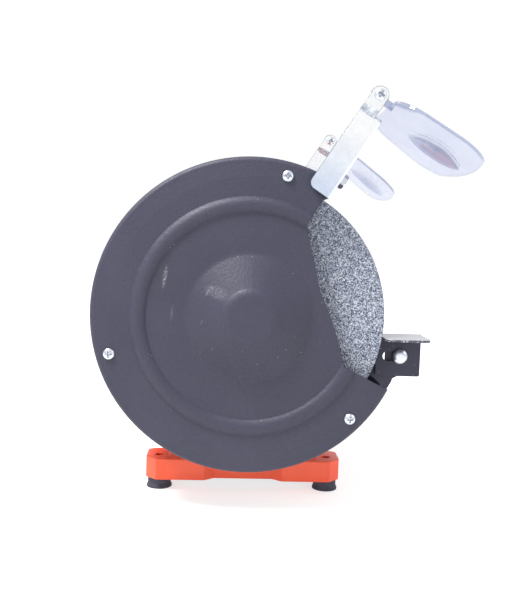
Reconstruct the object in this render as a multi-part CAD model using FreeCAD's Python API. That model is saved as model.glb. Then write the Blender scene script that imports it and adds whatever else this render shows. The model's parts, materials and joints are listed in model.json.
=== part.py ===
"""Bench grinder with two 200 mm wheels, one STEP file for each piece.

Frame: +X along the spindle, +Z up, the operator stands on the -Y side.
The origin lies on the bench, midway between the four feet. Millimetres.
"""
import FreeCAD, Part
import math
import os

V = FreeCAD.Vector
X_AXIS = V(1, 0, 0)
Y_AXIS = V(0, 1, 0)
Z_AXIS = V(0, 0, 1)
ORIGIN = V(0, 0, 0)

# ---- driving dimensions ---------------------------------------------------------
SPINDLE_Z = 146.0            # spindle axis above the bench
WHEEL_X = 128.0              # middle of each wheel from the middle of the machine
WHEEL_R = 100.0
WHEEL_W = 20.0
WHEEL_BORE_R = 10.0          # 20 mm bore, reduced by a bush to the spindle

SHAFT_R = 12.0               # through the rotor
JOURNAL_R = 10.0             # in the bearings and out to the inner flange
ARBOR_R = 8.0                # M16 end that carries the wheel
ARBOR_X = 112.0              # shoulder that the inner flange sits on
ARBOR_END = 160.0

HOUSING_R = 65.0             # motor body
HOUSING_BORE_R = 61.0
HOUSING_X = 54.0             # half length of the motor body
BELL_FACE = 103.5            # outer face of each end bell, where the guard bolts on
BELL_RIM_X = 68.0
BELL_BORE_R = 51.0
STACK_X = 30.0               # half length of the laminations
AIR_GAP = 0.5
ROTOR_R = 30.5
SLOT_COUNT = 24
THROUGH_BOLT_R = 57.5        # pitch radius of the four through bolts

BEARING_W = 14.0             # 20 x 47 x 14 deep groove bearing
BEARING_R = 23.5
BEARING_PITCH_R = 16.75
BALL_R = 3.9
BALL_COUNT = 8
BEARING_SEAT = 98.0          # inner face of the bell's end wall
WAVE_WASHER_T = 1.5

DRUM_R = 112.6               # guard rim
DRUM_T = 1.6
DRUM_END = 146.0
DRUM_LIP_T = 2.0
DRUM_BOLT_R = 31.0           # pitch radius of the screws into the end bell
COVER_FACE = 152.0           # outer face of the flat ring of the cover
COVER_R = 114.6
COVER_T = 1.5
SKIRT_END = 143.0            # free edge of the cover, lapped over the drum
COVER_SCREW_R = 104.0
COVER_SCREW_ANGLES = (77.0, 196.0, 316.0)

OPENING_LOW_DEG = -26.3      # lower end of the guard opening, from the front, up is +
ARRESTOR_DEG = 57.2          # direction of the eye-shield strap, from the front
LIP_OFFSET = 4.6             # upper end of the opening, behind the spindle line
CLAMP_R = 120.5              # arrestor clamp bolt from the spindle
ARRESTOR_T = 2.0
ARRESTOR_GAP = 1.6           # between a new wheel and the arrestor
ARRESTOR_TRAVEL = 10.0
STRAP_W = 18.2
STRAP_TOP = 167.0
STRAP_X = -28.8              # outer face of the strap, from the middle of the wheel
HINGE_R = 180.0              # eye-shield pivot from the spindle, along the strap
HINGE_BACK = 14.4            # and behind the spindle line
TONGUE_R = 6.1
TONGUE_STEP = 3.0
SHIELD_TILT = {"left": 33.7, "right": 39.1}
SHIELD_T = 2.0
SHIELD_BACK_W = 110.0
SHIELD_FRONT_W = 139.0
SHIELD_NEAR = 10.6
SHIELD_FAR = 89.0
SHIELD_BOW = 11.5            # how far the front edge bows out past its corners
SHIELD_BACK_R = 28.0
SHIELD_FRONT_R = 22.0
SHIELD_DOME_Y = 58.5         # middle of the bulge from the hinge
SHIELD_DOME_R = 24.0
SHIELD_DOME_H = 6.0

REST_TOP = SPINDLE_Z - 14.4
REST_T = 2.0
REST_FRONT = -136.8
TABLE_FRONT = -135.4           # front edge of the table, set back from the flange
REST_BACK = -101.4
REST_BOTTOM = SPINDLE_Z - 48.2
REST_OUTER = 142.0           # outboard edge of the table
REST_X = 103.6               # inboard face of the rest's flange
REST_BOLT_Y = -120.5
REST_BOLT_Z = SPINDLE_Z - 32.3
REST_SLOT_W = 7.4
REST_TRAVEL = 10.0
ARM_T = 3.0
ARM_X = 100.4

BASE_X = 98.7                # half length of the foot of the casting
BASE_Y = 78.0
BASE_BOTTOM = 8.7
BASE_EDGE = 21.5             # top of the edge between the pads
PAD_TOP = 25.6
PAD_INNER_X = 67.0             # each corner pad starts here
PAD_INNER_Y = 31.0
CORNER_CUT = 8.5
RECESS_DEPTH = 6.0
BOLT_X = 85.5                # bench bolt holes
BOLT_Y = 67.5
BOLT_HOLE_R = 3.5
WALL = 4.5
NECK_Z = 50.0
CAVITY_TOP = 74.0
PLATE_T = 1.5

SWITCH_Z = 56.0
SWITCH_FACE = -60.0
ROCKER_TILT = 10.0
GLAND_Z = 42.0
GLAND_FACE = 60.0
GLAND_BORE_R = 4.0


# ---- shape helpers --------------------------------------------------------------
def box(x0, x1, y0, y1, z0, z1):
    return Part.makeBox(x1 - x0, y1 - y0, z1 - z0, V(x0, y0, z0))


def cylinder_x(radius, x0, x1, y=0.0, z=0.0):
    return Part.makeCylinder(radius, x1 - x0, V(x0, y, z), X_AXIS)


def cylinder_y(radius, y0, y1, x=0.0, z=0.0):
    return Part.makeCylinder(radius, y1 - y0, V(x, y0, z), Y_AXIS)


def cylinder_z(radius, z0, z1, x=0.0, y=0.0):
    return Part.makeCylinder(radius, z1 - z0, V(x, y, z0), Z_AXIS)


def ring_x(outer, inner, x0, x1):
    return cylinder_x(outer, x0, x1).cut(cylinder_x(inner, x0 - 1, x1 + 1))


def face_of(edges):
    return Part.Face(Part.Wire(edges))


def polygon_edges(points):
    return [Part.makeLine(a, b) for a, b in zip(points, points[1:])]


def closed_polygon(points):
    return face_of(polygon_edges(points + points[:1]))


def prism_x(points, x0, x1):
    """Points are (y, z)."""
    return closed_polygon([V(x0, y, z) for y, z in points]).extrude(V(x1 - x0, 0, 0))


def prism_z(points, z0, z1):
    """Points are (x, y)."""
    return closed_polygon([V(x, y, z0) for x, y in points]).extrude(V(0, 0, z1 - z0))


def turned(points):
    """A solid of revolution about X from (x, radius) points."""
    profile = closed_polygon([V(x, 0, r) for x, r in points])
    return profile.revolve(ORIGIN, X_AXIS, 360)


def hexagon_x(across_flats, x0, x1, y=0.0, z=0.0):
    corner = across_flats / math.sqrt(3)
    angles = [math.radians(60 * i + 30) for i in range(6)]
    points = [(y + corner * math.cos(a), z + corner * math.sin(a)) for a in angles]
    return prism_x(points, x0, x1)


def polar(radius, degrees):
    """(y, z) at a radius from the spindle and an angle up from the front."""
    a = math.radians(degrees)
    return -radius * math.cos(a), radius * math.sin(a)


def spun(shape, degrees, point=ORIGIN):
    shape = shape.copy()
    shape.rotate(point, X_AXIS, degrees)
    return shape


def moved(shape, x=0.0, y=0.0, z=0.0):
    shape = shape.copy()
    shape.translate(V(x, y, z))
    return shape


def around_x(shape, count, start=0.0):
    return [spun(shape, start + 360.0 * i / count) for i in range(count)]


def fuse(shapes):
    whole = shapes[0].multiFuse(shapes[1:]) if len(shapes) > 1 else shapes[0]
    return whole.removeSplitter()


def cut_all(shape, tools):
    for tool in tools:
        shape = shape.cut(tool)
    return shape


def group(shapes):
    return Part.makeCompound(shapes)


def edges_along(shape, axis, test):
    """Edges parallel to an axis whose two ends both pass the test."""
    found = []
    for edge in shape.Edges:
        ends = [v.Point for v in edge.Vertexes]
        if len(ends) == 2 and all(test(p) for p in ends):
            if (ends[1] - ends[0]).cross(axis).Length < 0.001:
                found.append(edge)
    return found


def rounded(shape, radius, axis, test):
    return shape.makeFillet(radius, edges_along(shape, axis, test))


def on_spindle(shape):
    return moved(shape, z=SPINDLE_Z)


def handed(shape, side):
    """Pieces are drawn at the right-hand wheel; the left-hand ones are mirrored."""
    return shape if side == "right" else shape.mirror(ORIGIN, X_AXIS)


def at_wheel(shape, side):
    """Pieces that are the same on both sides, drawn about the middle of a wheel."""
    return moved(shape, x=WHEEL_X if side == "right" else -WHEEL_X)


def on_strap(shape):
    """From strap axes (X, back, outward) to the machine."""
    return on_spindle(spun(shape, 90.0 - ARRESTOR_DEG))


def domed_head(radius, height, x):
    """A pan head that stands on the plane x and points to +X."""
    shoulder = V(x + 0.4 * height, 0, radius)
    bow = V(x + 0.82 * height, 0, 0.72 * radius)
    crown = V(x + height, 0, 0.35 * radius)
    edges = polygon_edges([V(x, 0, 0), V(x, 0, radius), shoulder])
    edges.append(Part.Arc(shoulder, bow, crown).toShape())
    edges += polygon_edges([crown, V(x + height, 0, 0), V(x, 0, 0)])
    return face_of(edges).revolve(ORIGIN, X_AXIS, 360)


def cross_recess(size, x_top, depth):
    """A cross-point driver recess cut down from the plane x_top."""
    half = size / 2
    web = 0.24 * size
    bars = [
        box(x_top - depth, x_top + 1, -half, half, -web / 2, web / 2),
        box(x_top - depth, x_top + 1, -web / 2, web / 2, -half, half),
    ]
    return fuse(bars + [cylinder_x(web * 0.9, x_top - 1.3 * depth, x_top + 1)])


def pan_screw(shank_r, length, head_r, head_h):
    """A cross-point screw whose head stands on x = 0 and points to +X."""
    screw = fuse([domed_head(head_r, head_h, 0), cylinder_x(shank_r, -length, 0)])
    return screw.cut(cross_recess(1.15 * head_r, head_h, 0.62 * head_h))


def hex_screw(shank_r, length, across_flats, head_h):
    """A hexagon screw whose head stands on x = 0 and points to +X."""
    head = hexagon_x(across_flats, 0, head_h)
    chamfer = turned([(-1, 0), (-1, across_flats), (0, across_flats),
                      (head_h * 0.7, across_flats * 0.585),
                      (head_h, across_flats * 0.5), (head_h, 0)])
    return fuse([head.common(chamfer), cylinder_x(shank_r, -length, 0)])


def hex_nut(bore_r, across_flats, x0, x1):
    depth = x1 - x0
    reach = across_flats * 0.585
    flat = across_flats * 0.5
    body = turned([(x0, 0), (x0, flat), (x0 + 0.2 * depth, reach),
                   (x1 - 0.2 * depth, reach), (x1, flat), (x1, 0)])
    return hexagon_x(across_flats, x0, x1).common(body).cut(cylinder_x(bore_r, x0 - 1, x1 + 1))


def washer(inner, outer, x0, x1):
    return ring_x(outer, inner, x0, x1)


def turned_to_y(shape):
    """Turns a piece that points to +X so that it points to +Y."""
    shape = shape.copy()
    shape.rotate(ORIGIN, Z_AXIS, 90)
    return shape


def turned_up(shape):
    """Turns a piece that points to +X so that it points to +Z."""
    shape = shape.copy()
    shape.rotate(ORIGIN, Y_AXIS, -90)
    return shape


def corners(x, y):
    return [(sx * x, sy * y) for sx in (-1, 1) for sy in (-1, 1)]


# ---- base -----------------------------------------------------------------------
def base_outline():
    """The foot of the casting: four lobes, with a waist on every side."""
    side_waist = 64.0
    waist_start = 66.0
    waist_end = 56.0
    recess_y = 31.0
    recess_floor_y = 23.3
    floor_x = BASE_X - RECESS_DEPTH
    quarter = [
        (floor_x, recess_floor_y),
        (BASE_X, recess_y),
        (BASE_X, BASE_Y - CORNER_CUT),
        (BASE_X - CORNER_CUT, BASE_Y),
        (waist_start, BASE_Y),
        (waist_end, side_waist),
    ]
    left_back = [(-x, y) for x, y in reversed(quarter)]
    left_front = [(-x, -y) for x, y in quarter]
    right_front = [(x, -y) for x, y in reversed(quarter)]
    return quarter + left_back + left_front + right_front


def rectangle_wire(x, y, z):
    points = [V(-x, -y, z), V(x, -y, z), V(x, y, z), V(-x, y, z), V(-x, -y, z)]
    return Part.makePolygon(points)


def tapered(x0, y0, z0, x1, y1, z1):
    return Part.makeLoft([rectangle_wire(x0, y0, z0), rectangle_wire(x1, y1, z1)], True)


def pedestal():
    skirt = tapered(BASE_X - 0.2, 61.5, BASE_EDGE - 0.5, 58, 50, NECK_Z)
    neck = tapered(58, 50, NECK_Z, 50, 43, 106)
    switch_boss = box(-20, 20, SWITCH_FACE + 3, -40, SWITCH_Z - 24, SWITCH_Z + 24)
    gland_boss = box(-17, 17, 40, GLAND_FACE, GLAND_Z - 15, GLAND_Z + 15)
    return [skirt, neck, switch_boss, gland_boss]


def base_cavity():
    floor = box(-88, 88, -54, 54, BASE_BOTTOM - 1, BASE_EDGE)
    skirt = tapered(88, 54, BASE_EDGE, 53, 45, NECK_Z - 3)
    neck = tapered(53, 45, NECK_Z - 3, 47, 38, CAVITY_TOP)
    rebate = box(-91, 91, -57, 57, BASE_BOTTOM - 1, BASE_BOTTOM + PLATE_T)
    return [floor, skirt, neck, rebate]


PLATE_SCREW_X = 80.0
PLATE_SCREW_Y = 46.0
PLATE_SCREW_R = 2.0
FOOT_PLUG_R = 6.5
FOOT_PLUG_H = 6.0
HOUSING_SCREW_X = 40.0
HOUSING_SCREW_Y = 14.0
HOUSING_SCREW_R = 3.0


def base():
    slab = prism_z(base_outline(), BASE_BOTTOM, BASE_EDGE)
    body = fuse([slab] + pedestal())
    recess = [(BASE_X - RECESS_DEPTH, -23.3), (BASE_X + 1, -32.3), (BASE_X + 1, 32.3),
              (BASE_X - RECESS_DEPTH, 23.3)]
    recess_block = prism_z(recess, BASE_BOTTOM - 1, 80)
    body = cut_all(body, [recess_block, recess_block.mirror(ORIGIN, X_AXIS)])
    pads = prism_z(base_outline(), BASE_EDGE - 1, PAD_TOP)
    half_x = (BASE_X - PAD_INNER_X) / 2 + 1
    half_y = (BASE_Y - PAD_INNER_Y) / 2 + 1
    pad_zone = [box(x - half_x, x + half_x, y - half_y, y + half_y, 0, 40)
                for x, y in corners(PAD_INNER_X + half_x, PAD_INNER_Y + half_y)]
    pads = pads.common(group([rounded(zone, 10, Z_AXIS, lambda p: abs(p.x) < PAD_INNER_X + 1)
                              for zone in pad_zone]))
    body = fuse([body, pads])
    body = cut_all(body, base_cavity())
    posts = [cylinder_z(5, BASE_BOTTOM + PLATE_T, 24, x, y)
             for x, y in corners(PLATE_SCREW_X, PLATE_SCREW_Y)]
    posts = [post.common(fuse([slab] + pedestal())) for post in posts]
    body = fuse([body] + posts)
    body = body.cut(on_spindle(cylinder_x(HOUSING_R, -70, 70)))
    holes = [cylinder_z(BOLT_HOLE_R, 0, 40, x, y) for x, y in corners(BOLT_X, BOLT_Y)]
    holes += [cylinder_z(FOOT_PLUG_R, 0, BASE_BOTTOM + FOOT_PLUG_H, x, y)
              for x, y in corners(BOLT_X, BOLT_Y)]
    holes += [cylinder_z(PLATE_SCREW_R, 0, 20, x, y)
              for x, y in corners(PLATE_SCREW_X, PLATE_SCREW_Y)]
    holes += [cylinder_z(HOUSING_SCREW_R, CAVITY_TOP - 1, 90, x, y)
              for x, y in corners(HOUSING_SCREW_X, HOUSING_SCREW_Y)]
    holes.append(cylinder_z(7, CAVITY_TOP - 1, 90))
    holes.append(box(-12.2, 12.2, -70, -30, SWITCH_Z - 16.2, SWITCH_Z + 16.2))
    holes.append(cylinder_y(8, 30, 70, 0, GLAND_Z))
    holes.append(box(-14, 14, 30, GLAND_FACE - 9, GLAND_Z - 13.5, GLAND_Z + 13.5))
    return cut_all(body, holes)


def base_plate():
    sheet = box(-90.7, 90.7, -56.7, 56.7, BASE_BOTTOM, BASE_BOTTOM + PLATE_T)
    holes = [cylinder_z(PLATE_SCREW_R + 0.2, 0, 20, x, y)
             for x, y in corners(PLATE_SCREW_X, PLATE_SCREW_Y)]
    return cut_all(sheet, holes)


def base_plate_screws():
    screw = turned_up(pan_screw(PLATE_SCREW_R, 9.0, 3.6, 2.2))
    screw.rotate(ORIGIN, X_AXIS, 180)
    return group([moved(screw, x, y, BASE_BOTTOM)
                  for x, y in corners(PLATE_SCREW_X, PLATE_SCREW_Y)])


def rubber_foot():
    body_r = 9.2
    flare_r = 10.1
    profile = [(0, 0), (flare_r, 0), (flare_r, 1.2), (body_r, 3.4), (body_r, BASE_BOTTOM),
               (FOOT_PLUG_R, BASE_BOTTOM), (FOOT_PLUG_R, BASE_BOTTOM + FOOT_PLUG_H),
               (0, BASE_BOTTOM + FOOT_PLUG_H)]
    solid = closed_polygon([V(r, 0, z) for r, z in profile]).revolve(ORIGIN, Z_AXIS, 360)
    return solid.cut(cylinder_z(BOLT_HOLE_R, -1, 30))


def rubber_feet():
    return group([moved(rubber_foot(), x, y) for x, y in corners(BOLT_X, BOLT_Y)])


# ---- motor ----------------------------------------------------------------------
def through_bolt_places():
    return [(THROUGH_BOLT_R * math.cos(math.radians(a)),
             THROUGH_BOLT_R * math.sin(math.radians(a))) for a in (45, 135, 225, 315)]


def motor_housing():
    shell = ring_x(HOUSING_R, HOUSING_BORE_R, -HOUSING_X, HOUSING_X)
    shell = on_spindle(shell)
    holes = [cylinder_z(HOUSING_SCREW_R, 70, 100, x, y)
             for x, y in corners(HOUSING_SCREW_X, HOUSING_SCREW_Y)]
    holes.append(cylinder_z(7, 70, 100))
    return cut_all(shell, holes)


def housing_screws():
    length = 11.0
    screw = turned_up(hex_screw(HOUSING_SCREW_R, length, 10, 4))
    screw.rotate(ORIGIN, X_AXIS, 180)
    return group([moved(screw, x, y, CAVITY_TOP)
                  for x, y in corners(HOUSING_SCREW_X, HOUSING_SCREW_Y)])


def bell_outside():
    rim_r = HOUSING_R
    nose_r = 44.0
    corner = 3.0
    start = V(BELL_RIM_X - corner, 0, rim_r)
    middle = V(BELL_RIM_X - 0.3 * corner, 0, rim_r - 0.3 * corner)
    end = V(BELL_RIM_X, 0, rim_r - corner)
    foot = V(BELL_RIM_X, 0, 52)
    shoulder = V(94, 0, nose_r)
    bow = V(84, 0, 50.2)
    edges = polygon_edges([V(HOUSING_X, 0, 0), V(HOUSING_X, 0, rim_r), start])
    edges.append(Part.Arc(start, middle, end).toShape())
    edges += polygon_edges([end, foot])
    edges.append(Part.Arc(foot, bow, shoulder).toShape())
    edges += polygon_edges([shoulder, V(BELL_FACE, 0, nose_r), V(BELL_FACE, 0, 0),
                            V(HOUSING_X, 0, 0)])
    return face_of(edges).revolve(ORIGIN, X_AXIS, 360)


def end_bell(side):
    spigot = cylinder_x(HOUSING_BORE_R, HOUSING_X - 4, HOUSING_X)
    cavity = turned([(HOUSING_X - 5, 0), (HOUSING_X - 5, BELL_BORE_R), (62, BELL_BORE_R),
                     (86, 41), (BEARING_SEAT, 38), (BEARING_SEAT, 0)])
    boss = ring_x(BEARING_R + 5.5, BEARING_R, 80, BEARING_SEAT)
    bell = fuse([fuse([bell_outside(), spigot]).cut(cavity), boss])
    holes = [cylinder_x(2.7, 40, 80, y, z) for y, z in through_bolt_places()]
    holes += around_x(cylinder_x(2.5, 90, 110, DRUM_BOLT_R), 4, 45)
    holes.append(cylinder_x(11, 90, 110))
    return on_spindle(handed(cut_all(bell, holes), side))


def slot_bar(clearance):
    """One stator slot, which a coil side fills."""
    inner = 33.0 - clearance
    outer = 46.0
    half_in = 1.5
    half_out = 3.0
    points = [(inner, -half_in), (outer, -half_out), (outer, half_out), (inner, half_in)]
    return prism_x(points, -STACK_X, STACK_X)


def stator_core():
    ring = ring_x(HOUSING_BORE_R, ROTOR_R + AIR_GAP, -STACK_X, STACK_X)
    slots = around_x(slot_bar(3.0), SLOT_COUNT)
    holes = [cylinder_x(2.7, -40, 40, y, z) for y, z in through_bolt_places()]
    return on_spindle(ring.cut(group(slots)).cut(group(holes)))


def stator_windings():
    end_turn = turned([(STACK_X, 34), (STACK_X, 46), (STACK_X + 5, 49), (STACK_X + 14, 47),
                       (STACK_X + 17, 42), (STACK_X + 14, 36.5), (STACK_X + 5, 34)])
    bars = around_x(slot_bar(0), SLOT_COUNT)
    return on_spindle(fuse([end_turn, end_turn.mirror(ORIGIN, X_AXIS)] + bars))


def through_bolts():
    bolt = moved(hex_screw(2.5, 2 * BELL_RIM_X + 6, 8, 3.5), x=BELL_RIM_X)
    nut = hex_nut(2.5, 8, -BELL_RIM_X - 4, -BELL_RIM_X)
    pieces = []
    for y, z in through_bolt_places():
        pieces += [moved(bolt, 0, y, z), moved(nut, 0, y, z)]
    return on_spindle(group(pieces))


def bearing_span(side):
    """Where the bearing lies: the right-hand one leaves room for the wave washer."""
    outer = BEARING_SEAT - (WAVE_WASHER_T if side == "right" else 0.0)
    return outer - BEARING_W, outer


def bearing_groove(x):
    groove = Part.makeTorus(BEARING_PITCH_R, BALL_R + 0.1, V(x, 0, 0), X_AXIS)
    return groove


def bearing_outer(side):
    x0, x1 = bearing_span(side)
    ring = ring_x(BEARING_R, 19.4, x0, x1).cut(bearing_groove((x0 + x1) / 2))
    return on_spindle(handed(ring, side))


def bearing_inner(side):
    x0, x1 = bearing_span(side)
    middle = (x0 + x1) / 2
    ring = ring_x(14.1, JOURNAL_R, x0, x1).cut(bearing_groove(middle))
    ball = Part.makeSphere(BALL_R, V(middle, BEARING_PITCH_R, 0))
    return on_spindle(handed(group([ring] + around_x(ball, BALL_COUNT)), side))


def wave_washer():
    return on_spindle(ring_x(BEARING_R - 0.2, 19.5, BEARING_SEAT - WAVE_WASHER_T, BEARING_SEAT))


def spindle():
    left_seat = BEARING_SEAT - BEARING_W
    right_seat = left_seat - WAVE_WASHER_T
    chamfer = 1.2
    right = [(right_seat, SHAFT_R), (right_seat, JOURNAL_R), (ARBOR_X, JOURNAL_R),
             (ARBOR_X, ARBOR_R), (ARBOR_END - chamfer, ARBOR_R),
             (ARBOR_END, ARBOR_R - chamfer), (ARBOR_END, 0)]
    left = [(-ARBOR_END, 0), (-ARBOR_END, ARBOR_R - chamfer), (-ARBOR_END + chamfer, ARBOR_R),
            (-ARBOR_X, ARBOR_R), (-ARBOR_X, JOURNAL_R), (-left_seat, JOURNAL_R),
            (-left_seat, SHAFT_R)]
    return on_spindle(turned(left + right))


def rotor():
    stack = ring_x(ROTOR_R, SHAFT_R, -STACK_X, STACK_X)
    end_ring = ring_x(28.5, 18, STACK_X, STACK_X + 8)
    return on_spindle(fuse([stack, end_ring, end_ring.mirror(ORIGIN, X_AXIS)]))


# ---- switch, wiring and inlet -----------------------------------------------------
ROCKER_HALF = 10.8
ROCKER_W = 6.0
ROCKER_PIVOT_Y = SWITCH_FACE + 3.0
ROCKER_PIN_R = 1.5


def switch_body():
    bezel = box(-16, 16, SWITCH_FACE, SWITCH_FACE + 3, SWITCH_Z - 20, SWITCH_Z + 20)
    rim = [e for axis in (X_AXIS, Z_AXIS)
           for e in edges_along(bezel, axis, lambda p: abs(p.y - SWITCH_FACE) < 0.01)]
    bezel = bezel.makeChamfer(1.0, rim)
    case = box(-12, 12, SWITCH_FACE + 3, -30, SWITCH_Z - 16, SWITCH_Z + 16)
    pocket = box(-ROCKER_W - 0.4, ROCKER_W + 0.4, SWITCH_FACE - 1, SWITCH_FACE + 16,
                 SWITCH_Z - ROCKER_HALF - 1.4, SWITCH_Z + ROCKER_HALF + 1.4)
    pivot = cylinder_x(ROCKER_PIN_R + 0.06, -8.2, 8.2, ROCKER_PIVOT_Y, SWITCH_Z)
    return fuse([bezel, case]).cut(pocket).cut(pivot)


def switch_rocker():
    rise = ROCKER_HALF * math.tan(math.radians(ROCKER_TILT))
    middle = 3.4
    waist = 7.5
    depth = 7.0
    outline = [(-middle, 0), (-middle - rise, ROCKER_HALF), (0, ROCKER_HALF), (depth, waist),
               (depth, -waist), (0, -ROCKER_HALF), (-middle - rise, -ROCKER_HALF)]
    rocker = prism_x([(ROCKER_PIVOT_Y + y, SWITCH_Z + z) for y, z in outline],
                     -ROCKER_W, ROCKER_W)
    pin = cylinder_x(ROCKER_PIN_R, -8, 8, ROCKER_PIVOT_Y, SWITCH_Z)
    return spun(fuse([rocker, pin]), ROCKER_TILT, V(0, ROCKER_PIVOT_Y, SWITCH_Z))


def terminal_block():
    floor = BASE_BOTTOM + PLATE_T
    block = box(-62, -26, -30, -14, floor, floor + 13)
    wells = [cylinder_z(2.6, floor + 6, floor + 20, -56 + 8 * i, y)
             for i in range(4) for y in (-26, -18)]
    return cut_all(block, wells)


CAPACITOR_R = 15.0
CAPACITOR_Y = 24.0
CAPACITOR_Z = 28.0


def capacitor():
    can = cylinder_x(CAPACITOR_R, -28, 26, CAPACITOR_Y, CAPACITOR_Z)
    tabs = [box(26, 33, CAPACITOR_Y + s * 6 - 3, CAPACITOR_Y + s * 6 + 3,
                CAPACITOR_Z - 0.4, CAPACITOR_Z + 0.4) for s in (-1, 1)]
    return fuse([can] + tabs)


def capacitor_clamp():
    floor = BASE_BOTTOM + PLATE_T
    half_w = 6.0
    strip = 1.2
    band = cylinder_x(CAPACITOR_R + strip, -half_w, half_w, CAPACITOR_Y, CAPACITOR_Z)
    reach = CAPACITOR_R + strip
    legs = box(-half_w, half_w, CAPACITOR_Y - reach, CAPACITOR_Y + reach, floor, CAPACITOR_Z)
    feet = box(-half_w, half_w, CAPACITOR_Y - reach - 9, CAPACITOR_Y + reach + 9, floor,
               floor + strip)
    gap = box(-10, 10, CAPACITOR_Y - CAPACITOR_R, CAPACITOR_Y + CAPACITOR_R, floor - 1,
              CAPACITOR_Z)
    clear = cylinder_x(CAPACITOR_R, -10, 10, CAPACITOR_Y, CAPACITOR_Z)
    return fuse([band, legs, feet]).cut(gap).cut(clear)


def cable_gland():
    thread = cylinder_x(8, -13, 0)
    collar = hexagon_x(22, 0, 6)
    dome = turned([(6, 0), (6, 10), (12, 10), (18, 7.5), (20, 6.0), (20, 0)])
    lock_nut = hexagon_x(22, -13, -9).cut(cylinder_x(8, -14, -8))
    gland = fuse([thread, collar, dome, lock_nut]).cut(cylinder_x(GLAND_BORE_R, -20, 30))
    return moved(turned_to_y(gland), 0, GLAND_FACE, GLAND_Z)


# ---- wheel guards -----------------------------------------------------------------
def opening_cutter():
    """The opening at the front of a guard, as a block along X."""
    beyond = 160.0
    low_y, low_z = polar(beyond, OPENING_LOW_DEG)
    low_inner_y, low_inner_z = polar(77.0, OPENING_LOW_DEG)
    a = math.radians(ARRESTOR_DEG)
    lip = [V(0, -r * math.cos(a) + LIP_OFFSET * math.sin(a),
             r * math.sin(a) + LIP_OFFSET * math.cos(a)) for r in (77.3, beyond)]
    low = V(0, low_y, low_z)
    low_inner = V(0, low_inner_y, low_inner_z)
    bow = V(0, -59.7, -2.9)
    kink = V(0, -49.8, 19.9)
    edges = polygon_edges([low, low_inner])
    edges.append(Part.Arc(low_inner, bow, kink).toShape())
    edges += polygon_edges([kink, lip[0], lip[1], V(0, -2 * beyond, 0), low])
    return face_of(edges).extrude(V(300, 0, 0))


def drum_shell():
    corner = 6.0
    outer = cylinder_x(DRUM_R, BELL_FACE, DRUM_END)
    inner = cylinder_x(DRUM_R - DRUM_T, BELL_FACE + DRUM_T, DRUM_END + 1)
    outer = outer.makeFillet(corner, [e for e in outer.Edges
                                      if abs(e.BoundBox.XMax - BELL_FACE) < 0.01])
    inner = inner.makeFillet(corner - DRUM_T, [e for e in inner.Edges
                                               if abs(e.BoundBox.XMax - BELL_FACE - DRUM_T) < 0.01])
    return outer.cut(inner)


def cover_tab(degrees):
    """A threaded tab inside the rim that a cover screw pulls on."""
    tab = box(DRUM_END - 2.4, DRUM_END + 0.4, -8, 8, 96, DRUM_R - 0.8)
    tab = tab.cut(cylinder_x(2.0, DRUM_END - 5, DRUM_END + 5, 0, COVER_SCREW_R))
    return spun(tab, 90 - degrees)


def arm_bolt_places():
    return [(-83.0, -57.5), (-71.0, -45.5)]


def guard_drum(side):
    shell = drum_shell().cut(opening_cutter())
    tabs = [cover_tab(a) for a in COVER_SCREW_ANGLES]
    lip = box(106, SKIRT_END - 0.4, LIP_OFFSET, LIP_OFFSET + DRUM_LIP_T, DRUM_R - DRUM_T - 0.5, 129)
    lip = rounded(lip, 4, Y_AXIS, lambda p: p.z > 128.9)
    lip = lip.cut(cylinder_y(3.2, 0, 20, WHEEL_X, CLAMP_R))
    drum = fuse([shell, spun(lip, 90 - ARRESTOR_DEG)] + tabs)
    holes = around_x(cylinder_x(2.8, 90, 115, DRUM_BOLT_R), 4, 45)
    holes.append(cylinder_x(22, 90, 115))
    holes += [cylinder_x(2.6, 90, 115, y, z) for y, z in arm_bolt_places()]
    return on_spindle(handed(cut_all(drum, holes), side))


def drum_screws(side):
    screw = moved(pan_screw(2.5, 7.5, 4.6, 3.0), BELL_FACE + DRUM_T, DRUM_BOLT_R)
    return on_spindle(handed(group(around_x(screw, 4, 45)), side))


def cover_profile(depth):
    """The pressed face of the cover as edges in X and radius, sunk by a depth."""
    x = COVER_FACE - depth
    rim = COVER_R - depth
    boss = 14.0
    boss_top = V(x + boss, 0, 14.0)
    boss_edge = V(x + boss - 2.6, 0, 21.6)
    cone_foot = V(x + 1.2, 0, 43.5)
    ring_start = V(x, 0, 48.0)
    bead_in = V(x, 0, 74.6)
    bead_out = V(x, 0, 86.4)
    slope_start = V(x, 0, 100.0)
    slope_end = V(x - 0.9, 0, 110.6 - 0.6 * depth)
    skirt_top = V(x - 4.2, 0, rim)
    edges = polygon_edges([V(x + boss, 0, 0), boss_top])
    edges.append(Part.Arc(boss_top, V(x + boss - 0.6, 0, 18.2), boss_edge).toShape())
    edges += polygon_edges([boss_edge, cone_foot])
    edges.append(Part.Arc(cone_foot, V(x + 0.3, 0, 45.6), ring_start).toShape())
    edges += polygon_edges([ring_start, bead_in])
    edges.append(Part.Arc(bead_in, V(x + 2.7, 0, 80.6), bead_out).toShape())
    edges += polygon_edges([bead_out, slope_start, slope_end])
    edges.append(Part.Arc(slope_end, V(x - 1.8, 0, rim - 1.15), skirt_top).toShape())
    edges += polygon_edges([skirt_top, V(SKIRT_END, 0, rim), V(SKIRT_END, 0, 0),
                            V(x + boss, 0, 0)])
    return face_of(edges).revolve(ORIGIN, X_AXIS, 360)


def guard_cover(side):
    cover = cover_profile(0.0).cut(cover_profile(COVER_T))
    cover = cover.cut(opening_cutter())
    holes = []
    for degrees in COVER_SCREW_ANGLES:
        y, z = polar(COVER_SCREW_R, degrees)
        holes.append(cylinder_x(2.2, 140, 170, y, z))
    return on_spindle(handed(cut_all(cover, holes), side))


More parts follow.
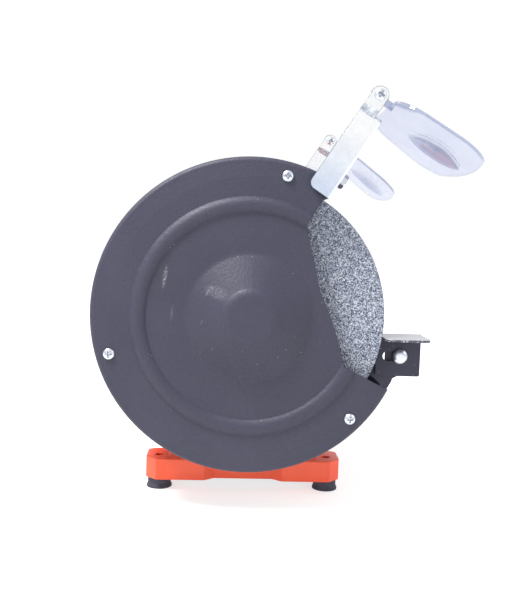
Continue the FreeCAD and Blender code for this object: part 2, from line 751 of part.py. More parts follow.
def cover_screws(side):
    screw = pan_screw(2.0, 9.0, 4.0, 2.5)
    pieces = []
    for degrees in COVER_SCREW_ANGLES:
        y, z = polar(COVER_SCREW_R, degrees)
        pieces.append(moved(screw, COVER_FACE, y, z))
    return on_spindle(handed(group(pieces), side))


# ---- wheels and their clamping -----------------------------------------------------
WHEEL_IN = WHEEL_X - WHEEL_W / 2
WHEEL_OUT = WHEEL_X + WHEEL_W / 2
BLOTTER_T = 0.8
FLANGE_R = 35.0
FLANGE_RELIEF = 1.0


def grinding_wheel(side):
    edge = 0.8
    wheel = turned([(WHEEL_IN, WHEEL_BORE_R), (WHEEL_IN, WHEEL_R - edge),
                    (WHEEL_IN + edge, WHEEL_R), (WHEEL_OUT - edge, WHEEL_R),
                    (WHEEL_OUT, WHEEL_R - edge), (WHEEL_OUT, WHEEL_BORE_R)])
    return on_spindle(handed(wheel, side))


def wheel_bush(side):
    return on_spindle(handed(ring_x(WHEEL_BORE_R, ARBOR_R, WHEEL_IN, WHEEL_OUT), side))


def wheel_blotters(side):
    blotters = [ring_x(38, WHEEL_BORE_R, WHEEL_IN - BLOTTER_T, WHEEL_IN),
                ring_x(38, WHEEL_BORE_R, WHEEL_OUT, WHEEL_OUT + BLOTTER_T)]
    return on_spindle(handed(group(blotters), side))


def inner_flange(side):
    face = WHEEL_IN - BLOTTER_T
    flange = turned([(ARBOR_X, ARBOR_R), (ARBOR_X, 17), (ARBOR_X + 2, FLANGE_R),
                     (face, FLANGE_R), (face, 25), (face - FLANGE_RELIEF, 25),
                     (face - FLANGE_RELIEF, ARBOR_R)])
    return on_spindle(handed(flange, side))


def outer_flange(side):
    face = WHEEL_OUT + BLOTTER_T
    back = 144.0
    flange = turned([(face + FLANGE_RELIEF, ARBOR_R), (face + FLANGE_RELIEF, 25), (face, 25),
                     (face, FLANGE_R), (back - 2, FLANGE_R), (back, 20), (back, ARBOR_R)])
    return on_spindle(handed(flange, side))


def spindle_nut(side):
    return on_spindle(handed(hex_nut(ARBOR_R, 24, 144, 157), side))


# ---- spark arrestor and eye shield -------------------------------------------------
STRAP_FRONT = LIP_OFFSET - 0.3 - ARRESTOR_T
STRAP_BACK = STRAP_FRONT + STRAP_W
STRAP_T = 1.8


def spark_arrestor(side):
    """A bent sheet: a plate across the wheel, a strap up its side and a stepped tongue."""
    inner_edge = WHEEL_R + ARRESTOR_GAP
    strap_in = STRAP_X + STRAP_T
    plate = box(STRAP_X, 21, STRAP_FRONT, STRAP_FRONT + ARRESTOR_T, inner_edge, 130)
    plate = rounded(plate, 4, Y_AXIS, lambda p: p.x > 20.9 and p.z > 129.9)
    strap = box(STRAP_X, strap_in, STRAP_FRONT, STRAP_BACK, inner_edge - 0.8, STRAP_TOP)
    strap = rounded(strap, 5, X_AXIS, lambda p: p.y > STRAP_BACK - 0.1 and p.z < inner_edge)
    strap = rounded(strap, 1.5, X_AXIS, lambda p: p.y < STRAP_FRONT + 0.1 and p.z > STRAP_TOP - 0.1)
    sheet = fuse([plate, strap])
    sheet = rounded(sheet, 1.7, Z_AXIS, lambda p: (
        abs(p.x - STRAP_X) < 0.01 and abs(p.y - STRAP_FRONT) < 0.01))
    tongue_out = STRAP_X - TONGUE_STEP
    tongue_in = tongue_out + STRAP_T
    step = [(STRAP_X, STRAP_TOP - 2.0), (tongue_out, STRAP_TOP + 1.2),
            (tongue_out, STRAP_TOP + 2.6), (tongue_in, STRAP_TOP + 2.6),
            (tongue_in, STRAP_TOP + 2.2), (strap_in, STRAP_TOP - 1.2),
            (strap_in, STRAP_TOP - 2.0)]
    low = HINGE_BACK - TONGUE_R
    high = min(HINGE_BACK + TONGUE_R, STRAP_BACK)
    joggle = closed_polygon([V(x, low, z) for x, z in step]).extrude(V(0, high - low, 0))
    tongue = box(tongue_out, tongue_in, low, high, STRAP_TOP + 2.4, HINGE_R)
    tip = cylinder_x(TONGUE_R, tongue_out, tongue_in, HINGE_BACK, HINGE_R)
    piece = fuse([sheet, joggle, tongue, tip])
    slot_low = CLAMP_R - ARRESTOR_TRAVEL
    slot_r = 3.3
    slot = fuse([
        cylinder_y(slot_r, 0, 10, 0, slot_low),
        cylinder_y(slot_r, 0, 10, 0, CLAMP_R),
        box(-slot_r, slot_r, 0, 10, slot_low, CLAMP_R),
    ])
    piece = piece.cut(slot).cut(cylinder_x(2.6, -40, -20, HINGE_BACK, HINGE_R))
    return at_wheel(on_strap(piece), side)


def arrestor_clamp(side):
    """Bolt, washer and nut; the bolt head is on the open side of the guard lip."""
    head_seat = STRAP_FRONT - 1.5
    back = LIP_OFFSET + DRUM_LIP_T
    bolt = turned_to_y(hex_screw(3.0, 15.5, 10, 4))
    bolt.rotate(ORIGIN, Z_AXIS, 180)
    bolt = moved(bolt, 0, head_seat, 0)
    disc = turned_to_y(washer(3.2, 6.2, head_seat, STRAP_FRONT - 0.1))
    nut = turned_to_y(hex_nut(3.0, 10, back, back + 5))
    pieces = [moved(p, z=CLAMP_R) for p in (bolt, disc, nut)]
    return at_wheel(on_strap(group(pieces)), side)


def shield_outline():
    """The plate seen along its normal: sides that spread and a bowed front edge."""
    back = SHIELD_BACK_W / 2
    front = SHIELD_FRONT_W / 2
    corner_y = -SHIELD_FAR + SHIELD_BOW
    near_left = V(-back, -SHIELD_NEAR, 0)
    near_right = V(back, -SHIELD_NEAR, 0)
    far_left = V(-front, corner_y, 0)
    far_right = V(front, corner_y, 0)
    edges = polygon_edges([far_left, near_left, near_right, far_right])
    edges.append(Part.Arc(far_right, V(0, -SHIELD_FAR, 0), far_left).toShape())
    return face_of(edges)


def shield_dome():
    """The moulded bulge, which stands out of the face away from the wheel."""
    rise = SHIELD_DOME_H
    radius = (SHIELD_DOME_R ** 2 + rise ** 2) / (2 * rise)
    middle = V(0, -SHIELD_DOME_Y, SHIELD_T / 2 + rise - radius)
    outer = Part.makeSphere(radius, middle)
    inner = Part.makeSphere(radius - SHIELD_T, middle)
    keep = Part.makeCylinder(SHIELD_DOME_R, 20, V(middle.x, middle.y, -SHIELD_T / 2), Z_AXIS)
    return outer.common(keep), inner


def eye_shield(side):
    """Clear plate with a moulded lens bulge and a lug that turns on the hinge screw."""
    plate = shield_outline().extrude(V(0, 0, SHIELD_T))
    plate.translate(V(0, 0, -SHIELD_T / 2))
    plate = rounded(plate, SHIELD_BACK_R, Z_AXIS, lambda p: p.y > -SHIELD_NEAR - 0.1)
    plate = rounded(plate, SHIELD_FRONT_R, Z_AXIS, lambda p: p.y < -SHIELD_FAR + SHIELD_BOW + 0.1)
    bulge, hollow = shield_dome()
    plate = plate.fuse(bulge).cut(hollow)
    lug_out = STRAP_X - TONGUE_STEP + STRAP_T + 0.2
    lug_in = lug_out + 3.0
    lug = fuse([cylinder_x(6.5, lug_out, lug_in),
                box(lug_out, lug_in, -13, 0, -4, SHIELD_T / 2)])
    shield = fuse([plate, lug]).cut(cylinder_x(2.58, lug_out - 1, lug_in + 1))
    shield = spun(shield, SHIELD_TILT[side])
    hinge = on_strap(Part.Vertex(0, HINGE_BACK, HINGE_R)).Vertexes[0].Point
    return at_wheel(moved(shield, 0, hinge.y, hinge.z), side)


def shield_hinge(side):
    """Pan-head screw through the tongue and the lug, with its nut."""
    tongue_face = STRAP_X - TONGUE_STEP
    screw = pan_screw(2.5, 10.5, 4.1, 2.8)
    screw = moved(screw.mirror(ORIGIN, X_AXIS), tongue_face, HINGE_BACK, HINGE_R)
    nut_x = tongue_face + STRAP_T + 0.2 + 3.0 + 0.2
    nut = moved(hex_nut(2.5, 8, nut_x, nut_x + 4), 0, HINGE_BACK, HINGE_R)
    return at_wheel(on_strap(group([screw, nut])), side)


# ---- tool rest ----------------------------------------------------------------------
def rest_arm(side):
    """The plate that carries the tool rest, bolted to the inner face of the drum."""
    outline = [(-128, -23), (-128, -44), (-116, -50.5), (-115, -53.3), (-112, -58.7),
               (-90, -70), (-80, -68), (-62, -50), (-62, -40), (-72, -36), (-100, -40),
               (-109.5, -36.5), (-109.5, -23)]
    arm = prism_x(outline, ARM_X, ARM_X + ARM_T)
    arm = rounded(arm, 3, X_AXIS, lambda p: p.y < -127.9)
    holes = [cylinder_x(2.6, 90, 115, y, z) for y, z in arm_bolt_places()]
    holes.append(cylinder_x(3.0, 90, 115, REST_BOLT_Y, REST_BOLT_Z - SPINDLE_Z))
    return on_spindle(handed(cut_all(arm, holes), side))


def arm_bolts(side):
    seat = BELL_FACE + DRUM_T
    bolt = moved(hex_screw(2.5, 11, 8, 3.5), x=seat)
    nut = hex_nut(2.5, 8, ARM_X - 4, ARM_X)
    pieces = []
    for y, z in arm_bolt_places():
        pieces += [moved(bolt, 0, y, z), moved(nut, 0, y, z)]
    return on_spindle(handed(group(pieces), side))


def tool_rest(side):
    """A table and a slotted flange, bent from one plate."""
    table = box(REST_X, REST_OUTER, TABLE_FRONT, REST_BACK, REST_TOP - REST_T, REST_TOP)
    table = rounded(table, 5, Z_AXIS, lambda p: p.x > REST_OUTER - 0.1)
    flange = box(REST_X, REST_X + REST_T, REST_FRONT, REST_BACK, REST_BOTTOM, REST_TOP)
    flange = rounded(flange, 1.5, X_AXIS, lambda p: p.z < REST_BOTTOM + 0.1)
    rest = fuse([table, flange])
    rest = rounded(rest, 2.0, Y_AXIS, lambda p: (
        abs(p.x - REST_X) < 0.01 and abs(p.z - REST_TOP) < 0.01))
    half = REST_SLOT_W / 2
    inner_y = REST_BOLT_Y + REST_TRAVEL
    slot = fuse([
        cylinder_x(half, 90, 120, REST_BOLT_Y, REST_BOLT_Z),
        cylinder_x(half, 90, 120, inner_y, REST_BOLT_Z),
        box(90, 120, REST_BOLT_Y, inner_y, REST_BOLT_Z - half, REST_BOLT_Z + half),
    ])
    return handed(rest.cut(slot), side)


def rest_bolt(side):
    seat = REST_X + REST_T + 0.2
    head = domed_head(5.9, 3.6, seat)
    shank = cylinder_x(3.0, 93.5, seat)
    nut = hex_nut(3.0, 10, ARM_X - 5, ARM_X)
    pieces = [fuse([head, shank]), nut]
    return handed(moved(group(pieces), 0, REST_BOLT_Y, REST_BOLT_Z), side)


# ---- the whole machine --------------------------------------------------------------
SINGLE_PIECES = (
    base, base_plate, base_plate_screws, rubber_feet, motor_housing, housing_screws,
    stator_core, stator_windings, through_bolts, wave_washer, spindle, rotor,
    switch_body, switch_rocker, terminal_block, capacitor, capacitor_clamp, cable_gland,
)
SIDE_PIECES = (
    end_bell, bearing_outer, bearing_inner, guard_drum, drum_screws, guard_cover,
    cover_screws, grinding_wheel, wheel_bush, wheel_blotters, inner_flange, outer_flange,
    spindle_nut, spark_arrestor, arrestor_clamp, eye_shield, shield_hinge, rest_arm,
    arm_bolts, tool_rest, rest_bolt,
)


def all_pieces():
    pieces = {make.__name__: make() for make in SINGLE_PIECES}
    for make in SIDE_PIECES:
        for side in ("left", "right"):
            pieces[make.__name__ + "_" + side] = make(side)
    return pieces


os.makedirs("parts", exist_ok=True)
for name, shape in all_pieces().items():
    shape.exportStep("parts/" + name + ".step")
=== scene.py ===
import json
import math

import bmesh
import bpy
from mathutils import Matrix, Vector


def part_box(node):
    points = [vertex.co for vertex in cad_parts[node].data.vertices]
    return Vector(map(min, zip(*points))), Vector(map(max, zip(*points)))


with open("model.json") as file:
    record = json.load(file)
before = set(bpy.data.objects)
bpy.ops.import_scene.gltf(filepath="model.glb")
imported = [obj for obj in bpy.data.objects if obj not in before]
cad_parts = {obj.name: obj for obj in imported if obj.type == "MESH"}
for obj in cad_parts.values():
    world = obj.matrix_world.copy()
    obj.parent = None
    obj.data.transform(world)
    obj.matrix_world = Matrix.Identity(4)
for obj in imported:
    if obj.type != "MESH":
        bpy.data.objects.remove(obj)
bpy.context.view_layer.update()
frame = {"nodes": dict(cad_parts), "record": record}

SPINDLE_Z = (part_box("spindle")[0][2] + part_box("spindle")[1][2]) / 2
REST_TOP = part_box("tool_rest_left")[1][2]


# ---- node helpers ---------------------------------------------------------------
class Finish:
    """One procedural material: shorthand for adding nodes to it and joining them.

    node() takes input sockets by name, with _ for a space, or as in0, in1 ... by number.
    """

    def __init__(self, name, colour, roughness, metallic=0.0):
        self.material = bpy.data.materials.new(name)
        self.material.use_nodes = True
        self.tree = self.material.node_tree
        self.shader = self.tree.nodes["Principled BSDF"]
        self.set("Base Color", (*colour, 1.0))
        self.set("Roughness", roughness)
        self.set("Metallic", metallic)
        self.coords = self.tree.nodes.new("ShaderNodeTexCoord").outputs["Object"]

    def set(self, socket, value):
        self.shader.inputs[socket].default_value = value

    def feed(self, socket, output):
        self.tree.links.new(output, self.shader.inputs[socket])

    def node(self, kind, settings=(), **inputs):
        made = self.tree.nodes.new("ShaderNode" + kind)
        for key, value in dict(settings).items():
            setattr(made, key, value)
        for key, value in inputs.items():
            socket = made.inputs[int(key[2:]) if key.startswith("in") else key.replace("_", " ")]
            if isinstance(value, bpy.types.NodeSocket):
                self.tree.links.new(value, socket)
            else:
                socket.default_value = value
        return made

    def noise(self, scale, detail=2.0, roughness=0.5, distortion=0.0):
        made = self.node("TexNoise", Vector=self.coords, Scale=scale, Detail=detail,
                         Roughness=roughness, Distortion=distortion)
        return made.outputs["Fac"]

    def cells(self, scale):
        return self.node("TexVoronoi", Vector=self.coords, Scale=scale)

    def ramp(self, value, *stops):
        made = self.node("ValToRGB", Fac=value)
        marks = made.color_ramp.elements
        while len(marks) < len(stops):
            marks.new(0.5)
        for mark, (place, value) in zip(marks, stops):
            colour = value if isinstance(value, tuple) else (value,) * 3
            mark.position = place
            mark.color = (*colour, 1.0)
        return made.outputs["Color"]

    def math(self, operation, first, second=0.0):
        return self.node("Math", {"operation": operation}, in0=first, in1=second).outputs[0]

    def blend(self, amount, first, second):
        made = self.node("Mix", {"data_type": "RGBA"}, in0=amount, in6=first, in7=second)
        return made.outputs[2]

    def height(self, value, depth, strength=1.0, normal=None):
        inputs = {"Height": value, "Distance": depth, "Strength": strength}
        if normal is not None:
            inputs["Normal"] = normal
        return self.node("Bump", **inputs).outputs["Normal"]

    def soft_edges(self, radius):
        return self.node("Bevel", {"samples": 4}, Radius=radius).outputs["Normal"]

    def edge_mask(self, radius):
        """0 on open faces, rising towards 1 across an edge."""
        rounded = self.node("Bevel", {"samples": 8}, Radius=radius).outputs["Normal"]
        flat = self.node("NewGeometry").outputs["Normal"]
        agree = self.node("VectorMath", {"operation": "DOT_PRODUCT"}, in0=rounded, in1=flat)
        return self.math("MULTIPLY", self.math("SUBTRACT", 1.0, agree.outputs["Value"]), 9.0)

    def patch(self, place, size, turn=0.0):
        """1 at a place on the piece, falling to 0 over an ellipsoid of this size."""
        mapping = self.node("Mapping", {"vector_type": "TEXTURE"}, Vector=self.coords,
                            Location=place, Rotation=(turn, 0.0, 0.0), Scale=size)
        gradient = self.node("TexGradient", {"gradient_type": "SPHERICAL"},
                             Vector=mapping.outputs["Vector"])
        return gradient.outputs["Fac"]


# ---- finishes -------------------------------------------------------------------
def orange_enamel():
    f = Finish("orange_enamel", (0.80, 0.080, 0.018), 0.34)
    f.set("Specular IOR Level", 0.3)
    mottling = f.noise(38.0, 4.0)
    colour = f.ramp(mottling, (0.3, (0.74, 0.060, 0.012)), (0.7, (0.84, 0.086, 0.020)))
    f.feed("Base Color", colour)
    f.feed("Roughness", f.ramp(f.noise(120.0, 3.0), (0.35, 0.28), (0.7, 0.42)))
    f.set("Coat Weight", 0.45)
    f.set("Coat Roughness", 0.16)
    casting = f.height(f.noise(260.0, 3.0), 0.0006, 0.30, f.soft_edges(0.0018))
    f.feed("Normal", f.height(f.noise(1500.0, 1.0), 0.0001, 0.25, casting))
    return f


def grey_powder(name="grey_powder"):
    f = Finish(name, (0.034, 0.034, 0.059), 0.5)
    f.set("Specular IOR Level", 0.4)
    grains = f.cells(1100.0)
    shade = f.ramp(f.noise(18.0, 3.0), (0.3, (0.030, 0.030, 0.054)), (0.7, (0.037, 0.037, 0.064)))
    tint = f.ramp(grains.outputs["Distance"], (0.0, 1.12), (0.7, 0.82))
    colour = f.node("Mix", {"data_type": "RGBA", "blend_type": "MULTIPLY"}, in0=1.0,
                    in6=shade, in7=tint).outputs[2]
    dust = f.cells(210.0)
    near = f.math("LESS_THAN", dust.outputs["Distance"], 0.085)
    chosen = f.math("GREATER_THAN", f.node("SeparateColor", in0=dust.outputs["Color"]).outputs[0],
                    0.72)
    specks = f.math("MULTIPLY", f.math("MULTIPLY", near, chosen), 0.30)
    colour = f.blend(specks, colour, (0.38, 0.38, 0.43, 1.0))
    f.feed("Base Color", colour)
    f.feed("Roughness", f.ramp(f.noise(400.0, 2.0), (0.3, 0.46), (0.7, 0.58)))
    relief = f.math("ADD", f.noise(1300.0, 2.0), f.noise(420.0, 2.0))
    f.feed("Normal", f.height(relief, 0.00035, 0.55, f.soft_edges(0.0007)))
    f.powder = colour
    return f


# light rubs on the left cover: y, z, size along y, size along z, turn, strength
COVER_RUBS = (
    (0.0615, 0.1735, 0.0022, 0.0110, 0.15, 0.75),
    (0.0245, 0.1640, 0.0110, 0.0055, 0.35, 0.30),
    (0.0300, 0.1645, 0.0015, 0.0050, 0.60, 0.45),
    (-0.0560, 0.1600, 0.0085, 0.0012, -0.35, 0.45),
    (0.0560, 0.1480, 0.0018, 0.0080, 0.1, 0.20),
)
# and one dark nick, the same way
COVER_NICK = (0.0395, 0.0860, 0.0012, 0.0012, 0.0, 0.85)
RUB_COLOUR = (0.30, 0.30, 0.33, 1.0)
NICK_COLOUR = (0.02, 0.02, 0.025, 1.0)
MARK_DEPTH = 0.02       # how far a mark reaches in X, so that it covers the relief
MARK_INSET = 0.006      # its middle, inside the cover's outermost point


def scuffed_powder():
    f = grey_powder("grey_powder_scuffed")
    colour = f.powder
    streaks = f.ramp(f.noise(900.0, 4.0, 0.7), (0.42, 0.0), (0.62, 1.0))
    face_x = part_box("guard_cover_left")[0][0]

    def mark(y, z, across, along, turn, strength):
        spot = f.patch((face_x + MARK_INSET, y, z), (MARK_DEPTH, across, along), turn)
        return f.ramp(spot, (0.05, 0.0), (0.6, strength))

    for rub in COVER_RUBS:
        colour = f.blend(f.math("MULTIPLY", mark(*rub), streaks), colour, RUB_COLOUR)
    f.feed("Base Color", f.blend(mark(*COVER_NICK), colour, NICK_COLOUR))
    return f


TOP_SKIN = 0.0003       # depth that counts as the top of the table
EDGE_DEPTH = 0.0024     # the table's edge and the bend beside it


def rest_wear_and_painted_sheen():
    """Powder coat with bright metal on the table: worn through in chips along its edge, and a
    painted sheen over the whole top.
    """
    f = grey_powder("grey_powder_table_wear_and_sheen")
    height = f.node("SeparateXYZ", in0=f.coords).outputs[2]
    on_top = f.math("GREATER_THAN", height, REST_TOP - TOP_SKIN)
    on_edge = f.math("GREATER_THAN", height, REST_TOP - EDGE_DEPTH)
    chips = f.ramp(f.noise(700.0, 5.0, 0.65), (0.50, 0.03), (0.62, 0.85))
    rubs = f.ramp(f.noise(900.0, 3.0), (0.30, 0.82), (0.50, 1.0))
    # painted sheen over the whole top, and bright metal chipped along the edge as wear
    wear_and_painted_sheen = f.blend(on_top, f.math("MULTIPLY", on_edge, chips), rubs)
    f.feed("Base Color", f.blend(wear_and_painted_sheen, f.powder, (0.50, 0.51, 0.55, 1.0)))
    f.feed("Metallic", f.math("MULTIPLY", wear_and_painted_sheen, 0.75))
    f.feed("Roughness", f.ramp(wear_and_painted_sheen, (0.0, 0.55), (1.0, 0.34)))
    return f


def abrasive():
    f = Finish("abrasive_grit", (0.33, 0.36, 0.42), 0.85)
    grit = f.cells(1500.0)
    coarse = f.cells(900.0)
    value = f.node("SeparateColor", in0=grit.outputs["Color"]).outputs[0]
    patchy = f.node("SeparateColor", in0=coarse.outputs["Color"]).outputs[1]
    mixed = f.math("ADD", f.math("MULTIPLY", value, 0.68), f.math("MULTIPLY", patchy, 0.32))
    mixed = f.math("ADD", mixed, f.math("MULTIPLY", f.noise(60.0, 2.0), 0.10))
    f.feed("Base Color", f.ramp(mixed, (0.16, (0.030, 0.036, 0.058)), (0.42, (0.120, 0.140, 0.20)),
                                (0.62, (0.24, 0.27, 0.345)), (0.90, (0.56, 0.58, 0.64))))
    relief = f.math("ADD", grit.outputs["Distance"], f.math("MULTIPLY", value, 0.6))
    f.feed("Normal", f.height(relief, 0.0006, 0.8))
    return f


# painted shade drawn along the edges of zinc parts
EDGE_PAINTED_SHADE = (0.10, 0.11, 0.15, 1.0)


def zinc_plate(name, roughness, tint, edge_width):
    f = Finish(name, tint, roughness, 1.0)
    cloud = f.noise(55.0, 3.0)
    dull = tuple(c * 0.93 for c in tint)
    f.plate = f.ramp(cloud, (0.3, dull), (0.7, tint))
    # painted shade: a dark grey line along every edge
    f.edges = f.ramp(f.edge_mask(edge_width), (0.35, 0.0), (1.0, 0.9))
    f.feed("Base Color", f.blend(f.edges, f.plate, EDGE_PAINTED_SHADE))
    f.feed("Roughness", f.ramp(f.noise(240.0, 4.0, 0.6), (0.3, roughness * 0.8),
                               (0.75, roughness * 1.35)))
    f.feed("Normal", f.height(f.noise(700.0, 2.0), 0.00005, 0.15, f.soft_edges(0.0005)))
    return f


STEP_REACH = 0.1675     # the step in the strap, from the spindle line
STEP_HALF = 0.0028
STRAP_LOW = 0.106       # the strap's lower bend, the same way, and where its painted reflection turns bright
STRAP_HIGH = 0.165


def strap_sheet():
    """Bright zinc sheet with painted reflection: darker and bluer low down, and a painted grey band
    at the step.
    """
    f = zinc_plate("zinc_sheet", 0.24, (0.95, 0.96, 0.97), 0.0011)
    across = f.node("VectorMath", {"operation": "MULTIPLY_ADD"}, in0=f.coords,
                    in1=(0.0, 1.0, 1.0), in2=(0.0, 0.0, -SPINDLE_Z)).outputs["Vector"]
    reach = f.node("VectorMath", {"operation": "LENGTH"}, in0=across).outputs["Value"]
    rise = f.node("MapRange", Value=reach, From_Min=STRAP_LOW, From_Max=STRAP_HIGH).outputs["Result"]
    # painted reflection: the sheet is coloured darker and bluer low down and white higher up, for
    # what it reflects
    shade = f.ramp(rise, (0.0, (0.66, 0.73, 0.87)), (0.35, (0.84, 0.88, 0.95)),
                   (0.8, (1.0, 1.0, 1.0)))
    plate = f.node("Mix", {"data_type": "RGBA", "blend_type": "MULTIPLY"}, in0=1.0,
                   in6=f.plate, in7=shade).outputs[2]
    # painted reflection: a mottled grey, less metallic band over the step, for what the bend
    # reflects
    off_step = f.math("ABSOLUTE", f.math("SUBTRACT", reach, STEP_REACH))
    step = f.math("LESS_THAN", off_step, STEP_HALF)
    painted_step_reflection = f.ramp(f.noise(160.0, 2.0), (0.35, (0.22, 0.25, 0.31)), (0.65, (0.62, 0.66, 0.72)))
    plate = f.blend(step, plate, painted_step_reflection)
    f.feed("Base Color", f.blend(f.edges, plate, EDGE_PAINTED_SHADE))
    f.feed("Metallic", f.ramp(step, (0.0, 1.0), (1.0, 0.15)))
    return f


def machined_steel():
    """Turned steel: fine rings round the spindle line."""
    tint = (0.52, 0.53, 0.55)
    f = Finish("machined_steel", tint, 0.30, 1.0)
    mapping = f.node("Mapping", Vector=f.coords, Location=(0.0, 0.0, -SPINDLE_Z))
    rings = f.node("TexWave", {"wave_type": "RINGS", "rings_direction": "X"},
                   Vector=mapping.outputs["Vector"], Scale=260.0, Distortion=1.5, Detail=2.0)
    dull = tuple(c * 0.86 for c in tint)
    f.feed("Base Color", f.ramp(rings.outputs["Fac"], (0.0, dull), (1.0, tint)))
    f.feed("Roughness", f.ramp(f.noise(300.0, 3.0), (0.3, 0.24), (0.7, 0.40)))
    f.feed("Normal", f.height(rings.outputs["Fac"], 0.00004, 0.4))
    return f


def laminations():
    f = Finish("electrical_steel", (0.22, 0.22, 0.24), 0.42, 1.0)
    sheets = f.node("TexWave", {"wave_type": "BANDS", "bands_direction": "X"}, Vector=f.coords,
                    Scale=320.0, Distortion=0.0)
    f.feed("Base Color", f.ramp(sheets.outputs["Fac"], (0.2, (0.10, 0.10, 0.11)),
                                (0.8, (0.26, 0.26, 0.28))))
    f.feed("Roughness", f.ramp(f.noise(220.0), (0.3, 0.36), (0.7, 0.55)))
    f.feed("Normal", f.height(sheets.outputs["Fac"], 0.0001, 0.6))
    return f


def varnished_copper():
    f = Finish("varnished_copper", (0.55, 0.20, 0.07), 0.28, 0.6)
    strands = f.node("TexWave", {"wave_type": "RINGS", "rings_direction": "X"},
                     Vector=f.node("Mapping", Vector=f.coords,
                                   Location=(0.0, 0.0, -SPINDLE_Z)).outputs["Vector"],
                     Scale=230.0, Distortion=3.0, Detail=1.0)
    f.feed("Base Color", f.ramp(strands.outputs["Fac"], (0.1, (0.28, 0.08, 0.025)),
                                (0.8, (0.62, 0.25, 0.09))))
    f.feed("Roughness", f.ramp(f.noise(150.0), (0.3, 0.22), (0.7, 0.38)))
    f.feed("Normal", f.height(strands.outputs["Fac"], 0.0004, 0.7))
    return f


def rubber():
    f = Finish("foot_rubber", (0.026, 0.026, 0.038), 0.72)
    f.feed("Base Color", f.ramp(f.noise(90.0, 4.0), (0.35, (0.022, 0.023, 0.040)),
                                (0.75, (0.042, 0.043, 0.068))))
    f.feed("Roughness", f.ramp(f.noise(500.0, 2.0), (0.3, 0.62), (0.7, 0.82)))
    f.feed("Normal", f.height(f.noise(900.0, 2.0), 0.0002, 0.5, f.soft_edges(0.0006)))
    return f


def moulded(name, colour, roughness, lighter):
    f = Finish(name, colour, roughness)
    f.feed("Base Color", f.ramp(f.noise(70.0, 3.0), (0.35, colour), (0.75, lighter)))
    f.feed("Roughness", f.ramp(f.noise(700.0), (0.3, roughness * 0.85), (0.7, roughness * 1.2)))
    f.feed("Normal", f.height(f.noise(1600.0, 1.0), 0.00006, 0.5, f.soft_edges(0.0005)))
    return f


def card():
    f = Finish("blotter_card", (0.42, 0.45, 0.40), 0.9)
    fibres = f.noise(520.0, 5.0, 0.7, distortion=0.6)
    f.feed("Base Color", f.ramp(fibres, (0.3, (0.34, 0.37, 0.33)), (0.7, (0.50, 0.53, 0.47))))
    f.feed("Roughness", f.ramp(fibres, (0.3, 0.82), (0.7, 0.96)))
    f.feed("Normal", f.height(fibres, 0.0001, 0.6))
    return f


def clear_sheet():
    """Clear glossy sheet with a lilac cast, hazed a little by fine scratches.

    It is thin, so it hardly bends what is seen through it.
    """
    f = Finish("clear_polycarbonate", (0.57, 0.60, 0.80), 0.04)
    f.set("Transmission Weight", 1.0)
    f.set("IOR", 1.001)
    f.set("Coat Weight", 1.0)
    f.set("Coat Roughness", 0.04)
    haze = f.noise(42.0, 4.0, 0.6)
    tint = f.ramp(haze, (0.3, (0.41, 0.45, 0.63)), (0.7, (0.50, 0.54, 0.71)))
    # painted shade: the tint darkens across the edges, for the dark outline a clear sheet shows
    # there
    edges = f.ramp(f.edge_mask(0.0010), (0.1, 0.0), (0.6, 0.3))
    f.feed("Base Color", f.blend(edges, tint, (0.20, 0.20, 0.27, 1.0)))
    scratches = f.node("TexNoise", Vector=f.node(
        "Mapping", Vector=f.coords, Scale=(900.0, 60.0, 60.0)).outputs["Vector"],
        Scale=1.0, Detail=3.0).outputs["Fac"]
    f.feed("Roughness", f.ramp(scratches, (0.45, 0.02), (0.75, 0.10)))
    f.feed("Normal", f.height(f.noise(45.0, 1.0), 0.0006, 0.35, f.soft_edges(0.0008)))
    return f


FINISHES = {
    "orange_paint": orange_enamel(),
    "grey_powder_coat": grey_powder(),
    "black_rubber": rubber(),
    "zinc": zinc_plate("zinc_bright", 0.30, (0.62, 0.66, 0.73), 0.0007),
    "zinc_sheet": strap_sheet(),
    "bare_steel": machined_steel(),
    "lamination_steel": laminations(),
    "copper_wire": varnished_copper(),
    "abrasive": abrasive(),
    "blotter_card": card(),
    "clear_plastic": clear_sheet(),
    "black_plastic": moulded("black_moulding", (0.022, 0.022, 0.026), 0.42, (0.034, 0.034, 0.040)),
    "green_plastic": moulded("green_rocker", (0.012, 0.19, 0.045), 0.22, (0.018, 0.24, 0.060)),
    "white_plastic": moulded("cream_moulding", (0.62, 0.61, 0.55), 0.45, (0.70, 0.69, 0.63)),
}
NODE_FINISHES = {
    "guard_cover_left": scuffed_powder(),
    "tool_rest_left": rest_wear_and_painted_sheen(),
}
NODE_FINISHES["tool_rest_right"] = NODE_FINISHES["tool_rest_left"]


def dress_cad_pieces():
    slots = {row["node"]: row["material_slot"] for row in frame["record"]["subparts"]}
    for name, piece in frame["nodes"].items():
        finish = NODE_FINISHES.get(name) or FINISHES[slots[name]]
        for place in piece.material_slots:
            place.material = finish.material


# ---- studio ---------------------------------------------------------------------
CAMERA_PLACE = Vector((-0.6926, 0.0184, 0.2032))
CAMERA_YAW = math.radians(3.06)
CAMERA_PITCH = math.radians(-4.67)
CAMERA_ROLL = math.radians(1.92)
CAMERA_LENS = 45.53


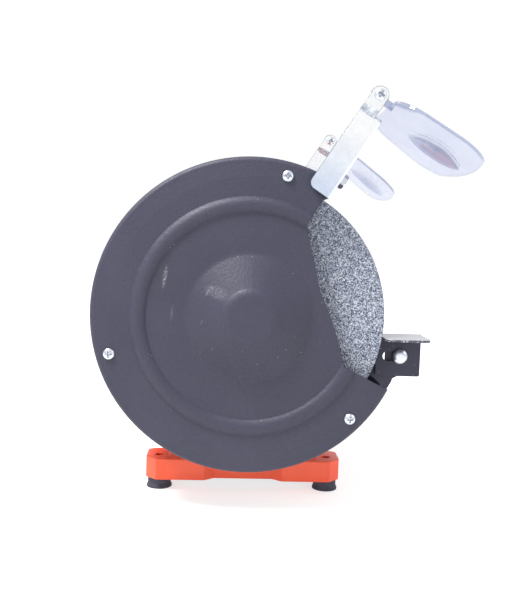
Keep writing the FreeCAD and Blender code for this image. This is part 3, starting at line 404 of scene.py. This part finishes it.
def camera():
    data = bpy.data.cameras.new("camera")
    data.sensor_width = 36.0
    data.lens = CAMERA_LENS
    data.clip_start = 0.01
    holder = bpy.data.objects.new("camera", data)
    bpy.context.scene.collection.objects.link(holder)
    level = math.cos(CAMERA_PITCH)
    forward = Vector((level * math.cos(CAMERA_YAW), -level * math.sin(CAMERA_YAW),
                      math.sin(CAMERA_PITCH)))
    right = forward.cross(Vector((0, 0, 1))).normalized()
    up = right.cross(forward)
    turned_right = right * math.cos(CAMERA_ROLL) + up * math.sin(CAMERA_ROLL)
    turned_up = up * math.cos(CAMERA_ROLL) - right * math.sin(CAMERA_ROLL)
    axes = Matrix((turned_right, turned_up, -forward)).transposed()
    holder.matrix_world = Matrix.Translation(CAMERA_PLACE) @ axes.to_4x4()
    bpy.context.scene.camera = holder


def softbox(name, place, target, size, power):
    data = bpy.data.lights.new(name, "AREA")
    data.shape = "DISK"
    data.size = size
    data.energy = power
    lamp = bpy.data.objects.new(name, data)
    bpy.context.scene.collection.objects.link(lamp)
    lamp.location = place
    aim = Vector(target) - Vector(place)
    lamp.rotation_euler = aim.to_track_quat("-Z", "Y").to_euler()


FLOOR_RADIUS = 6.0


def floor():
    mesh = bmesh.new()
    bmesh.ops.create_circle(mesh, cap_ends=True, segments=96, radius=FLOOR_RADIUS)
    data = bpy.data.meshes.new("floor")
    mesh.to_mesh(data)
    mesh.free()
    piece = bpy.data.objects.new("floor", data)
    bpy.context.scene.collection.objects.link(piece)
    white = Finish("pale_floor", (0.58, 0.58, 0.58), 0.9)
    white.feed("Roughness", white.ramp(white.noise(20.0), (0.3, 0.85), (0.7, 0.95)))
    white.set("Emission Color", (1.0, 1.0, 1.0, 1.0))
    white.set("Emission Strength", 0.6)
    data.materials.append(white.material)


def studio():
    world = bpy.data.worlds.new("studio")
    world.use_nodes = True
    world.node_tree.nodes["Background"].inputs["Color"].default_value = (1.0, 1.0, 1.0, 1.0)
    world.node_tree.nodes["Background"].inputs["Strength"].default_value = 1.0
    bpy.context.scene.world = world
    bpy.context.scene.view_settings.view_transform = "Standard"
    middle = (0.0, 0.0, SPINDLE_Z)
    softbox("key", (-0.55, 0.62, 1.35), middle, 0.45, 34.0)
    softbox("fill", (-0.5, -1.4, 0.9), middle, 0.9, 3.0)


dress_cad_pieces()
floor()
studio()
camera()
